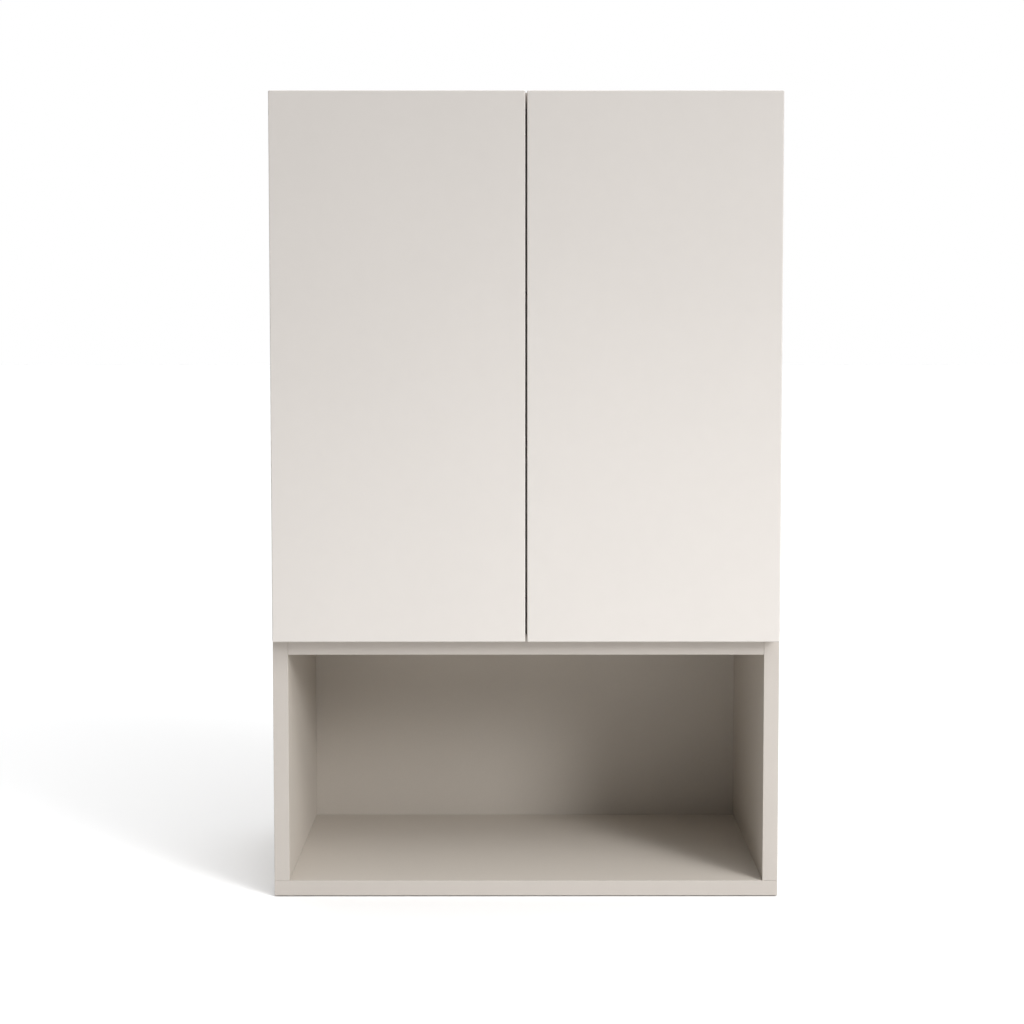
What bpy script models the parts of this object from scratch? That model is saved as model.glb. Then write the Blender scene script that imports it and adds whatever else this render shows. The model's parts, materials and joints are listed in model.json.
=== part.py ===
"""Wall-hung bathroom cabinet: two push-to-open doors over an open niche.

Lengths are metres. Drawn in cabinet coordinates: x to the right, y towards the wall with the wall plane
at 0, z up from the underside. The cabinet empty then puts the middle of the wall rail at the world origin.
"""

import math

import bmesh
import bpy
from mathutils import Matrix, Vector

MM = 0.001

# Carcass
WIDTH = 600 * MM
HEIGHT = 950 * MM
DEPTH = 300 * MM
BOARD = 18 * MM
DECK = 25 * MM
NICHE_HEIGHT = 272 * MM
BACK = 6 * MM
BACK_INSET = 18 * MM
GROOVE_DEPTH = 8 * MM
BOARD_EDGE = 0.5 * MM
DOWEL_RADIUS = 4 * MM
DOWEL_IN_PANEL = 11 * MM
DOWEL_OUT = 19 * MM
DOWEL_FROM_FRONT = 60 * MM
DOWEL_FROM_BACK = 60 * MM

# Clearances
SEAM = 0.3 * MM
HOLE_FLOOR = 1 * MM
OVERCUT = 2 * MM

# Doors
DOOR = 18 * MM
DOOR_GAP = 3 * MM
DOOR_SPLIT = 2 * MM
DOOR_REVEAL = 2.5 * MM
DOOR_OVERLAP = 6 * MM
DOOR_EDGE = 1.5 * MM

# Shelves on pins
SHELF = 18 * MM
SHELF_SETBACK = 25 * MM
SHELF_PLAY = 1.5 * MM
SHELF_PIN_RADIUS = 2.2 * MM
SHELF_PIN_DEPTH = 8 * MM
SHELF_PIN_COLLAR = 4 * MM
SHELF_PIN_COLLAR_DEPTH = 0.8 * MM
SHELF_PIN_NOSE = 3 * MM
SHELF_PIN_REACH = 10 * MM
PIN_ROW_INSET = 37 * MM
PIN_ROW_PITCH = 32 * MM
PIN_ROW_STEPS = 2

# Single-axis cup hinges
HINGE_FROM_END = 100 * MM
AXIS_FROM_EDGE = 7.5 * MM
AXIS_DEPTH = 8 * MM
PIN_RADIUS = 1.25 * MM
PIN_FIT = 0.1 * MM
PIN_LENGTH = 17 * MM
PIN_BOSS = 1.4 * MM
CUP_RADIUS = 17.5 * MM
CUP_WALL = 1 * MM
CUP_DEPTH = 12 * MM
CUP_FROM_EDGE = 3 * MM
FLANGE = 1 * MM
FLANGE_LENGTH = 64 * MM
FLANGE_REACH = 15 * MM
FLANGE_CORNER = 6 * MM
KNOCK_PITCH = 48 * MM
KNOCK_OFFSET = 9.5 * MM
KNOCK_RADIUS = 4 * MM
KNOCK_LENGTH = 10 * MM
KNUCKLE_WALL = 1 * MM
NOSE = 2 * MM
NOSE_WIDTH = 8 * MM
NOSE_PLAY = 0.4 * MM
NOSE_BEND = 2 * MM
CHANNEL_SHEET = 2.4 * MM
CHANNEL_LIP = 1.4 * MM
CHANNEL_WIDTH = 17 * MM
CHANNEL_HEIGHT = 10 * MM
CHANNEL_START = 4 * MM
CHANNEL_LENGTH = 70 * MM
CHANNEL_TAIL = 5 * MM
PLATE = 2 * MM
PLATE_LENGTH = 52 * MM
PLATE_WIDTH = 12 * MM
PLATE_WING = 15 * MM
PLATE_SPAN = 45 * MM
PLATE_SCREW_PITCH = 32 * MM
PLATE_SCREW_HEAD = 3.8 * MM
PLATE_SCREW_HEAD_DEPTH = 2 * MM
PLATE_SCREW_RADIUS = 2.2 * MM
PLATE_SCREW_LENGTH = 11 * MM
STUD_RADIUS = 3 * MM
STUD_HEIGHT = 5.5 * MM
STUD_PITCH = 30 * MM

# Push latches
LATCH_FROM_MIDDLE = 32 * MM
LATCH_SETBACK = 1.5 * MM
BARREL_RADIUS = 5 * MM
BARREL_WALL = 1.6 * MM
BARREL_LENGTH = 72 * MM
BARREL_FLANGE = 6.5 * MM
BARREL_FLANGE_DEPTH = 1.5 * MM
PLUNGER_LENGTH = 56 * MM
PLUNGER_NOSE = 1 * MM
SPRING_WIRE = 0.35 * MM
SPRING_TURNS = 7
SPRING_POINTS = 8
HOLDER_LENGTH = 52 * MM
HOLDER_WALL = 2 * MM
HOLDER_EAR = 10 * MM
HOLDER_EAR_DEPTH = 3 * MM
LATCH_SCREW_RADIUS = 1.6 * MM
LATCH_SCREW_HEAD = 3.4 * MM
LATCH_SCREW_HEAD_DEPTH = 1.8 * MM
LATCH_SCREW_LENGTH = 12 * MM
STRIKE_RADIUS = 8 * MM
STRIKE = 1 * MM
STRIKE_PEG_RADIUS = 2.5 * MM
STRIKE_PEG_LENGTH = 8 * MM

# Wall rail
RAIL_FROM_TOP = 68 * MM
RAIL_SHEET = 2 * MM
RAIL_BASE = 22 * MM
RAIL_STEP = 8 * MM
RAIL_LIP = 18 * MM
RAIL_END_PLAY = 3 * MM
RAIL_HOLE = 3 * MM
RAIL_HOLES = (80 * MM, 240 * MM)

# Hangers
HOOK = 4 * MM
HOOK_HEIGHT = 24 * MM
HOOK_ARM = 8 * MM
HOOK_TIP = 2.8 * MM
HOOK_DROP = 10 * MM
HOOK_TRAVEL = 4 * MM
HOOK_LENGTH = 42 * MM
HANGER_SHEET = 1.5 * MM
HANGER_WIDTH = 17 * MM
HANGER_LENGTH = 56 * MM
HANGER_PEG_RADIUS = 5 * MM
HANGER_PEG_LENGTH = 10 * MM
HANGER_PEG_PITCH = 32 * MM
ADJUSTER_RADIUS = 2.5 * MM
ADJUSTER_HEAD = 4 * MM
ADJUSTER_HEAD_DEPTH = 3 * MM
COVER_WALL = 1.4 * MM
COVER_NOSE = 4 * MM

# Cross recesses of the screws
DRIVE_WIDTH = 0.9 * MM
DRIVE_DEPTH = 1.2 * MM
DRIVE_SHARE = 0.8

# Facets of round pieces and edges
FINE_STEPS = 24
ROUND_STEPS = 12
COARSE_STEPS = 8
EDGE_STEPS = 2

# Places worked out from the sizes above
INNER_X = WIDTH / 2 - BOARD
FRONT = -DEPTH
BACK_FACE = -(BACK_INSET + BACK)
DECK_LOW = BOARD + NICHE_HEIGHT
DECK_TOP = DECK_LOW + DECK
TOP_LOW = HEIGHT - BOARD
DOOR_BACK = FRONT - DOOR_GAP
DOOR_FRONT = DOOR_BACK - DOOR
DOOR_LOW = DECK_TOP - DOOR_OVERLAP
DOOR_OUTER_X = WIDTH / 2 - DOOR_REVEAL
AXIS_X = DOOR_OUTER_X - AXIS_FROM_EDGE
AXIS_Y = DOOR_BACK - AXIS_DEPTH
CUP_X = DOOR_OUTER_X - CUP_FROM_EDGE - CUP_RADIUS
HINGE_HEIGHTS = {"lower": DOOR_LOW + HINGE_FROM_END, "upper": HEIGHT - HINGE_FROM_END}
ARM_X = INNER_X - SEAM - PLATE - SEAM - CHANNEL_SHEET / 2
PLATE_SCREW_Y = FRONT + PIN_ROW_INSET
LATCH_Z = TOP_LOW - SEAM - HOLDER_EAR_DEPTH - BARREL_RADIUS
BARREL_FRONT = FRONT + LATCH_SETBACK
PLUNGER_TIP = DOOR_BACK + SEAM + STRIKE + SEAM
RAIL_Z = HEIGHT - RAIL_FROM_TOP
LIP_TOP = RAIL_Z + RAIL_BASE / 2 - RAIL_SHEET + RAIL_LIP
HOOK_TOP = LIP_TOP + SEAM + HOOK_ARM
HOOK_LOW = HOOK_TOP - HOOK_HEIGHT
HANGER_LOW = HOOK_LOW - 2 * (SEAM + ADJUSTER_HEAD) - HANGER_SHEET
HANGER_TOP = HOOK_TOP + 2 * (SEAM + ADJUSTER_HEAD) + HANGER_SHEET
HANGER_REAR = BACK_FACE - SEAM
HANGER_FRONT = HANGER_REAR - HANGER_LENGTH
HOOK_X = INNER_X - SEAM - HANGER_SHEET - SEAM - HOOK / 2
ADJUSTER_X = INNER_X - SEAM - HANGER_SHEET - SEAM - ADJUSTER_HEAD

SIDES = {"left": -1, "right": 1}


def clear_scene():
    for obj in list(bpy.data.objects):
        bpy.data.objects.remove(obj, do_unlink=True)


def finish(name, colour, roughness, metallic=0.0):
    material = bpy.data.materials.new(name)
    material.use_nodes = True
    shader = material.node_tree.nodes["Principled BSDF"]
    shader.inputs["Base Color"].default_value = (*colour, 1.0)
    shader.inputs["Roughness"].default_value = roughness
    shader.inputs["Metallic"].default_value = metallic
    return material


def pivot(name, point, parent=None):
    """An empty at a point in cabinet coordinates, which carries the pieces that turn there."""
    empty = bpy.data.objects.new(name, None)
    bpy.context.scene.collection.objects.link(empty)
    empty.parent = parent
    empty.location = point
    empty.empty_display_size = 20 * MM
    return empty


def drawn_from(parent):
    """Where a parent empty stands in cabinet coordinates."""
    return parent.location.copy() if parent.parent else Vector((0, 0, 0))


def place(name, bm, material, parent, origin, smooth=False):
    """Turns a mesh in cabinet coordinates into an object whose origin is at the given point."""
    origin = Vector(origin)
    bmesh.ops.translate(bm, verts=bm.verts[:], vec=-origin)
    bmesh.ops.recalc_face_normals(bm, faces=bm.faces[:])
    mesh = bpy.data.meshes.new(name)
    bm.to_mesh(mesh)
    bm.free()
    if smooth:
        mesh.shade_smooth()
        mesh.set_sharp_from_angle(angle=math.radians(35))
    mesh.materials.append(material)
    obj = bpy.data.objects.new(name, mesh)
    bpy.context.scene.collection.objects.link(obj)
    obj.parent = parent
    obj.location = origin - drawn_from(parent)
    return obj


def apply_tool(obj, bm, operation):
    """Cuts or joins a mesh in cabinet coordinates with an Exact Boolean."""
    origin = obj.location + drawn_from(obj.parent)
    tool = place(f"{obj.name}.{operation.lower()}", bm, obj.data.materials[0], obj.parent, origin)
    tool.hide_render = True
    tool.display_type = "WIRE"
    boolean = obj.modifiers.new(operation.title(), "BOOLEAN")
    boolean.operation = operation
    boolean.solver = "EXACT"
    boolean.object = tool
    return obj


def cut(obj, bm):
    return apply_tool(obj, bm, "DIFFERENCE")


def join(obj, bm):
    return apply_tool(obj, bm, "UNION")


def box(bm, low, high):
    low = Vector(low)
    high = Vector(high)
    size = Matrix.Diagonal((*(high - low), 1))
    bmesh.ops.create_cube(bm, size=1, matrix=Matrix.Translation((low + high) / 2) @ size)


def span_box(bm, side, x_near, x_far, y, z):
    """A box between two distances from the middle, on the left or on the right."""
    xs = sorted((side * x_near, side * x_far))
    ys = sorted(y)
    zs = sorted(z)
    box(bm, (xs[0], ys[0], zs[0]), (xs[1], ys[1], zs[1]))


def rod(bm, start, end, radius, facets):
    start = Vector(start)
    end = Vector(end)
    turn = (end - start).to_track_quat("Z", "Y").to_matrix().to_4x4()
    bmesh.ops.create_cone(
        bm,
        cap_ends=True,
        segments=facets,
        radius1=radius,
        radius2=radius,
        depth=(end - start).length,
        matrix=Matrix.Translation((start + end) / 2) @ turn,
    )


def turned(bm, profile, start, direction, facets):
    """Revolves a profile of (radius, distance) pairs about a line."""
    start = Vector(start)
    direction = Vector(direction).normalized()
    side = direction.orthogonal().normalized()
    verts = [bm.verts.new(start + direction * along + side * radius) for radius, along in profile]
    edges = [bm.edges.new(pair) for pair in zip(verts, verts[1:])]
    bmesh.ops.spin(
        bm,
        geom=verts + edges,
        cent=start,
        axis=direction,
        angle=2 * math.pi,
        steps=facets,
        use_merge=True,
    )
    bmesh.ops.remove_doubles(bm, verts=bm.verts[:], dist=0.001 * MM)


def prism(bm, outline, along):
    """Extrudes a flat outline of points along a vector."""
    face = bm.faces.new([bm.verts.new(point) for point in outline])
    grown = bmesh.ops.extrude_face_region(bm, geom=[face])
    moved = [item for item in grown["geom"] if isinstance(item, bmesh.types.BMVert)]
    bmesh.ops.translate(bm, verts=moved, vec=Vector(along))


def arc(centre, radius, start, end, steps):
    """Points on an arc, in degrees, both ends included."""
    angles = [math.radians(start + (end - start) * i / steps) for i in range(steps + 1)]
    return [(centre[0] + radius * math.cos(a), centre[1] + radius * math.sin(a)) for a in angles]


def rounded_rectangle(low, high, radius, steps):
    corners = (
        ((high[0] - radius, high[1] - radius), 0),
        ((low[0] + radius, high[1] - radius), 90),
        ((low[0] + radius, low[1] + radius), 180),
        ((high[0] - radius, low[1] + radius), 270),
    )
    return [p for centre, angle in corners for p in arc(centre, radius, angle, angle + 90, steps)]


def board(name, low, high, material, parent, edge, axes="xyz"):
    """A board whose edges along the named axes are rounded. Sawn ends that butt a neighbour stay square."""
    bm = bmesh.new()
    box(bm, low, high)
    rounded = [e for e in bm.edges if along_axis(e) in axes]
    if rounded:
        bmesh.ops.bevel(
            bm, geom=rounded, offset=edge, segments=EDGE_STEPS, profile=0.5, affect="EDGES"
        )
    return place(name, bm, material, parent, (Vector(low) + Vector(high)) / 2)


def along_axis(edge):
    run = edge.verts[1].co - edge.verts[0].co
    return max(zip((abs(run.x), abs(run.y), abs(run.z)), "xyz"))[1]


def drive(bm, spot, out, reach):
    """Cross recess for a screwdriver, sunk into a head at a spot on its face."""
    out = Vector(out)
    across = out.orthogonal().normalized()
    rise = out.cross(across)
    arm = reach * DRIVE_SHARE
    half = DRIVE_WIDTH / 2
    quarter = ((arm, -half), (arm, half), (half, half))
    start = Vector(spot) + out * OVERCUT
    outline = []
    for turn in range(4):
        for a, b in quarter:
            outline.append(start + across * a + rise * b)
        across, rise = rise, -across
    prism(bm, outline, -out * (OVERCUT + DRIVE_DEPTH))


def dowel_rows():
    return (FRONT + DOWEL_FROM_FRONT, BACK_FACE - DOWEL_FROM_BACK)


def add_carcass(cabinet, carcass_finish, holes):
    """Boards of the case. The glued dowels belong to the sides and to the deck."""
    half = WIDTH / 2
    boards = {}
    for name, side in SIDES.items():
        xs = sorted((side * INNER_X, side * half))
        low = (xs[0], FRONT, BOARD + SEAM)
        high = (xs[1], 0, TOP_LOW - SEAM)
        boards[name] = board(f"{name}_side_panel", low, high, carcass_finish, cabinet, BOARD_EDGE, "z")
        groove = holes[name]
        span_box(
            groove,
            side,
            INNER_X + GROOVE_DEPTH,
            INNER_X - OVERCUT,
            (BACK_FACE - SEAM, -BACK_INSET + SEAM),
            (BOARD - OVERCUT, TOP_LOW + OVERCUT),
        )
    lying = {
        "bottom": ((-half, FRONT, 0), (half, 0, BOARD)),
        "deck": ((-INNER_X + SEAM, FRONT, DECK_LOW), (INNER_X - SEAM, BACK_FACE - SEAM, DECK_TOP)),
        "top": ((-half, FRONT, TOP_LOW), (half, 0, HEIGHT)),
    }
    names = {"bottom": "bottom_panel", "deck": "middle_deck", "top": "top_panel"}
    axes = {"bottom": "xyz", "deck": "x", "top": "xyz"}
    for key, (low, high) in lying.items():
        boards[key] = board(names[key], low, high, carcass_finish, cabinet, BOARD_EDGE, axes[key])
    groove_y = (BACK_FACE - SEAM, -BACK_INSET + SEAM)
    groove_x = INNER_X + GROOVE_DEPTH
    box(
        holes["bottom"],
        (-groove_x, groove_y[0], BOARD - GROOVE_DEPTH),
        (groove_x, groove_y[1], BOARD + OVERCUT),
    )
    box(
        holes["top"],
        (-groove_x, groove_y[0], TOP_LOW - OVERCUT),
        (groove_x, groove_y[1], TOP_LOW + GROOVE_DEPTH),
    )
    add_dowels(boards, holes)
    reach = INNER_X + GROOVE_DEPTH - SEAM
    low = (-reach, BACK_FACE, BOARD - GROOVE_DEPTH + SEAM)
    high = (reach, -BACK_INSET, TOP_LOW + GROOVE_DEPTH - SEAM)
    boards["back"] = board("back_panel", low, high, carcass_finish, cabinet, BOARD_EDGE, "")
    return boards


def add_dowels(boards, holes):
    pegs = {key: bmesh.new() for key in ("left", "right", "deck")}
    wide = DOWEL_RADIUS + SEAM
    middle = WIDTH / 2 - BOARD / 2
    deck_z = DECK_LOW + DECK / 2
    for name, side in SIDES.items():
        x = side * middle
        for y in dowel_rows():
            low = BOARD - DOWEL_IN_PANEL
            rod(pegs[name], (x, y, low), (x, y, BOARD + DOWEL_OUT), DOWEL_RADIUS, COARSE_STEPS)
            rod(holes["bottom"], (x, y, low - HOLE_FLOOR), (x, y, BOARD + OVERCUT), wide, COARSE_STEPS)
            high = TOP_LOW + DOWEL_IN_PANEL
            rod(pegs[name], (x, y, high), (x, y, TOP_LOW - DOWEL_OUT), DOWEL_RADIUS, COARSE_STEPS)
            rod(holes["top"], (x, y, high + HOLE_FLOOR), (x, y, TOP_LOW - OVERCUT), wide, COARSE_STEPS)
            inner = side * (INNER_X - DOWEL_OUT)
            outer = side * (INNER_X + DOWEL_IN_PANEL)
            rod(pegs["deck"], (inner, y, deck_z), (outer, y, deck_z), DOWEL_RADIUS, COARSE_STEPS)
            mouth = side * (INNER_X - OVERCUT)
            floor = side * (INNER_X + DOWEL_IN_PANEL + HOLE_FLOOR)
            rod(holes[name], (mouth, y, deck_z), (floor, y, deck_z), wide, COARSE_STEPS)
    for key, bm in pegs.items():
        join(boards[key], bm)


def shelf_heights():
    """Undersides of the two shelves, which share the closed part into three equal bays."""
    bay = (TOP_LOW - DECK_TOP - 2 * SHELF) / 3
    return {"lower": DECK_TOP + bay, "upper": DECK_TOP + 2 * bay + SHELF}


def add_shelves(cabinet, shelf_finish, steel, holes):
    half = INNER_X - SHELF_PLAY
    rows = {"front": FRONT + PIN_ROW_INSET, "rear": BACK_FACE - PIN_ROW_INSET}
    hole = SHELF_PIN_RADIUS + SEAM
    profile = (
        (0, -SHELF_PIN_DEPTH),
        (SHELF_PIN_RADIUS, -SHELF_PIN_DEPTH),
        (SHELF_PIN_RADIUS, SEAM),
        (SHELF_PIN_COLLAR, SEAM),
        (SHELF_PIN_COLLAR, SEAM + SHELF_PIN_COLLAR_DEPTH),
        (SHELF_PIN_NOSE, SEAM + SHELF_PIN_COLLAR_DEPTH),
        (SHELF_PIN_NOSE, SHELF_PIN_REACH),
        (0, SHELF_PIN_REACH),
    )
    for level, low in shelf_heights().items():
        board(
            f"{level}_shelf",
            (-half, FRONT + SHELF_SETBACK, low),
            (half, BACK_FACE - SHELF_PLAY, low + SHELF),
            shelf_finish,
            cabinet,
            BOARD_EDGE,
        )
        z = low - SEAM - SHELF_PIN_NOSE
        for name, side in SIDES.items():
            for row, y in rows.items():
                bm = bmesh.new()
                turned(bm, profile, (side * INNER_X, y, z), (-side, 0, 0), COARSE_STEPS)
                place(f"{level}_{name}_{row}_shelf_pin", bm, steel, cabinet, (side * INNER_X, y, z), True)
                for step in range(-PIN_ROW_STEPS, PIN_ROW_STEPS + 1):
                    height = z + step * PIN_ROW_PITCH
                    mouth = (side * (INNER_X - OVERCUT), y, height)
                    floor = (side * (INNER_X + SHELF_PIN_DEPTH + HOLE_FLOOR), y, height)
                    rod(holes[name], mouth, floor, hole, COARSE_STEPS)


def add_doors(pivots, door_finish):
    doors = {}
    for name, side in SIDES.items():
        xs = sorted((side * DOOR_OUTER_X, side * DOOR_SPLIT / 2))
        low = (xs[0], DOOR_FRONT, DOOR_LOW)
        high = (xs[1], DOOR_BACK, HEIGHT)
        doors[name] = board(f"{name}_door", low, high, door_finish, pivots[name], DOOR_EDGE)
    return doors


def cup_piece(name, side, z, material, parent):
    """Drawn cup, flange and the two knock-in dowels that hold it in the door."""
    flange_back = DOOR_BACK + SEAM
    low = (CUP_X - FLANGE_REACH, z - FLANGE_LENGTH / 2)
    high = (CUP_X + CUP_RADIUS - CUP_WALL / 2, z + FLANGE_LENGTH / 2)
    outline = rounded_rectangle(low, high, FLANGE_CORNER, 4)
    bm = bmesh.new()
    prism(bm, [(side * x, flange_back, h) for x, h in outline], (0, FLANGE, 0))
    cup = place(name, bm, material, parent, (side * AXIS_X, AXIS_Y, z), True)
    body = bmesh.new()
    rod(
        body,
        (side * CUP_X, flange_back + FLANGE / 2, z),
        (side * CUP_X, DOOR_BACK - CUP_DEPTH, z),
        CUP_RADIUS,
        FINE_STEPS,
    )
    join(cup, body)
    dowels = bmesh.new()
    for end in (-1, 1):
        x = side * (CUP_X - KNOCK_OFFSET)
        h = z + end * KNOCK_PITCH / 2
        foot = (x, flange_back + FLANGE / 2, h)
        rod(dowels, foot, (x, DOOR_BACK - KNOCK_LENGTH, h), KNOCK_RADIUS, COARSE_STEPS)
    join(cup, dowels)
    mouth = flange_back + FLANGE + OVERCUT
    floor = DOOR_BACK - CUP_DEPTH + CUP_WALL
    hollow = bmesh.new()
    prism(hollow, [(side * x, mouth, z + h) for x, h in hollow_outline()], (0, floor - mouth, 0))
    cut(cup, hollow)
    bore = bmesh.new()
    reach = PIN_LENGTH / 2 + SEAM
    rod(
        bore,
        (side * AXIS_X, AXIS_Y, z - reach),
        (side * AXIS_X, AXIS_Y, z + reach),
        PIN_RADIUS + PIN_FIT,
        ROUND_STEPS,
    )
    cut(cup, bore)
    return cup


def hollow_outline():
    """Inside of the cup: round, with a neck for the nose between the two bosses that hold the pin."""
    radius = CUP_RADIUS - CUP_WALL
    face = AXIS_X - PIN_RADIUS - PIN_FIT - PIN_BOSS - CUP_X
    neck = NOSE_WIDTH / 2 + NOSE_PLAY
    turn = math.degrees(math.acos(face / radius))
    narrow = math.degrees(math.asin(neck / radius))
    points = arc((CUP_X, 0), radius, -narrow, narrow, 4)
    points.append((CUP_X + face, neck))
    points += arc((CUP_X, 0), radius, turn, 360 - turn, FINE_STEPS - 8)
    points.append((CUP_X + face, -neck))
    return points


def cup_holes(bm, side, z):
    """Seat of one cup in the back of a door."""
    depth = DOOR_BACK - CUP_DEPTH - SEAM
    rod(bm, (side * CUP_X, DOOR_BACK + OVERCUT, z), (side * CUP_X, depth, z), CUP_RADIUS + SEAM, FINE_STEPS)
    for end in (-1, 1):
        x = side * (CUP_X - KNOCK_OFFSET)
        h = z + end * KNOCK_PITCH / 2
        floor = DOOR_BACK - KNOCK_LENGTH - HOLE_FLOOR
        rod(bm, (x, DOOR_BACK + OVERCUT, h), (x, floor, h), KNOCK_RADIUS + SEAM, COARSE_STEPS)


def nose_outline():
    """Gooseneck of the arm seen from above, from the knuckle round the bend into the channel."""
    half = NOSE / 2
    knuckle = PIN_RADIUS + PIN_FIT + KNUCKLE_WALL
    open_angle = math.degrees(math.asin(half / knuckle))
    bend = (ARM_X + NOSE_BEND, AXIS_Y + NOSE_BEND)
    tail = FRONT + 2 * CHANNEL_START
    points = arc((AXIS_X, AXIS_Y), knuckle, 180 + open_angle, 540 - open_angle, 14)
    points += arc(bend, NOSE_BEND - half, 270, 180, 4)
    points += [(ARM_X + half, tail), (ARM_X - half, tail)]
    points += arc(bend, NOSE_BEND + half, 180, 270, 6)
    return points


def arm_piece(name, side, z, material, parent):
    """Bent nose on the hinge pin, and the channel that clips onto the mounting plate."""
    bm = bmesh.new()
    low = z - NOSE_WIDTH / 2
    prism(bm, [(side * x, y, low) for x, y in nose_outline()], (0, 0, NOSE_WIDTH))
    arm = place(name, bm, material, parent, (side * AXIS_X, AXIS_Y, z), True)
    base = ARM_X + CHANNEL_SHEET / 2
    floor = ARM_X - CHANNEL_SHEET / 2
    rim = base - CHANNEL_HEIGHT
    wide = CHANNEL_WIDTH / 2
    inside = wide - CHANNEL_LIP
    section = (
        (base, -wide),
        (base, wide),
        (rim, wide),
        (rim, inside),
        (floor, inside),
        (floor, -inside),
        (rim, -inside),
        (rim, -wide),
    )
    start = FRONT + CHANNEL_START
    channel = bmesh.new()
    prism(channel, [(side * x, start, z + h) for x, h in section], (0, CHANNEL_LENGTH, 0))
    join(arm, channel)
    slope = bmesh.new()
    end = start + CHANNEL_LENGTH
    for y_low, y_high in ((start, start + CHANNEL_HEIGHT), (end, end - CHANNEL_HEIGHT)):
        y_out = y_low + math.copysign(OVERCUT, y_low - y_high)
        wedge = ((floor - CHANNEL_TAIL / 4, y_out), (rim - OVERCUT, y_out), (rim - OVERCUT, y_high))
        prism(slope, [(side * x, y, z - wide - OVERCUT) for x, y in wedge], (0, 0, 2 * (wide + OVERCUT)))
    cut(arm, slope)
    openings = bmesh.new()
    rod(
        openings,
        (side * AXIS_X, AXIS_Y, z - NOSE_WIDTH),
        (side * AXIS_X, AXIS_Y, z + NOSE_WIDTH),
        PIN_RADIUS + PIN_FIT,
        ROUND_STEPS,
    )
    for y in stud_rows():
        mouth = (side * (base + OVERCUT), y, z)
        rod(openings, mouth, (side * (floor - OVERCUT), y, z), STUD_RADIUS + SEAM, ROUND_STEPS)
    cut(arm, openings)
    return arm


def stud_rows():
    middle = FRONT + CHANNEL_START + CHANNEL_LENGTH / 2
    return (middle - STUD_PITCH / 2, middle + STUD_PITCH / 2)


def plate_piece(name, side, z, material, parent):
    """Cross mounting plate with its two panel screws and the studs that the arm clips over."""
    outer = INNER_X - SEAM
    inner = outer - PLATE
    middle = sum(stud_rows()) / 2
    half = PLATE_LENGTH / 2
    wide = PLATE_WIDTH / 2
    wing = PLATE_WING / 2
    span = PLATE_SPAN / 2
    cross = (
        (middle - half, -wide),
        (PLATE_SCREW_Y - wing, -wide),
        (PLATE_SCREW_Y - wing, -span),
        (PLATE_SCREW_Y + wing, -span),
        (PLATE_SCREW_Y + wing, -wide),
        (middle + half, -wide),
        (middle + half, wide),
        (PLATE_SCREW_Y + wing, wide),
        (PLATE_SCREW_Y + wing, span),
        (PLATE_SCREW_Y - wing, span),
        (PLATE_SCREW_Y - wing, wide),
        (middle - half, wide),
    )
    bm = bmesh.new()
    prism(bm, [(side * outer, y, z + h) for y, h in cross], (-side * PLATE, 0, 0))
    plate = place(name, bm, material, parent, (side * INNER_X, PLATE_SCREW_Y, z), True)
    screw = (
        (0, -PLATE_SCREW_LENGTH),
        (PLATE_SCREW_RADIUS, -PLATE_SCREW_LENGTH),
        (PLATE_SCREW_RADIUS, SEAM + PLATE / 2),
        (PLATE_SCREW_HEAD, SEAM + PLATE / 2),
        (PLATE_SCREW_HEAD, SEAM + PLATE + PLATE_SCREW_HEAD_DEPTH / 2),
        (PLATE_SCREW_RADIUS, SEAM + PLATE + PLATE_SCREW_HEAD_DEPTH),
        (0, SEAM + PLATE + PLATE_SCREW_HEAD_DEPTH),
    )
    fixings = bmesh.new()
    drives = bmesh.new()
    for end in (-1, 1):
        start = (side * INNER_X, PLATE_SCREW_Y, z + end * PLATE_SCREW_PITCH / 2)
        turned(fixings, screw, start, (-side, 0, 0), COARSE_STEPS)
        face = (side * (inner - PLATE_SCREW_HEAD_DEPTH), start[1], start[2])
        drive(drives, face, (-side, 0, 0), PLATE_SCREW_RADIUS)
    join(plate, fixings)
    studs = bmesh.new()
    for y in stud_rows():
        foot = side * (outer - PLATE / 2)
        face = (side * (inner - STUD_HEIGHT), y, z)
        rod(studs, (foot, y, z), face, STUD_RADIUS, ROUND_STEPS)
        drive(drives, face, (-side, 0, 0), STUD_RADIUS)
    join(plate, studs)
    cut(plate, drives)
    return plate


def pin_piece(name, side, z, material, parent):
    half = PIN_LENGTH / 2
    bm = bmesh.new()
    rod(bm, (side * AXIS_X, AXIS_Y, z - half), (side * AXIS_X, AXIS_Y, z + half), PIN_RADIUS, ROUND_STEPS)
    return place(name, bm, material, parent, (side * AXIS_X, AXIS_Y, z), True)


def add_hinges(cabinet, pivots, nickel, steel, holes, door_holes):
    for name, side in SIDES.items():
        for level, z in HINGE_HEIGHTS.items():
            label = f"{name}_{level}_hinge"
            cup_piece(f"{label}_cup", side, z, nickel, pivots[name])
            pin_piece(f"{label}_pin", side, z, steel, pivots[name])
            arm_piece(f"{label}_arm", side, z, nickel, cabinet)
            plate_piece(f"{label}_plate", side, z, nickel, cabinet)
            cup_holes(door_holes[name], side, z)
            for end in (-1, 1):
                h = z + end * PLATE_SCREW_PITCH / 2
                mouth = (side * (INNER_X - OVERCUT), PLATE_SCREW_Y, h)
                floor = (side * (INNER_X + PLATE_SCREW_LENGTH + HOLE_FLOOR), PLATE_SCREW_Y, h)
                rod(holes[name], mouth, floor, PLATE_SCREW_RADIUS + SEAM, COARSE_STEPS)


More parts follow.
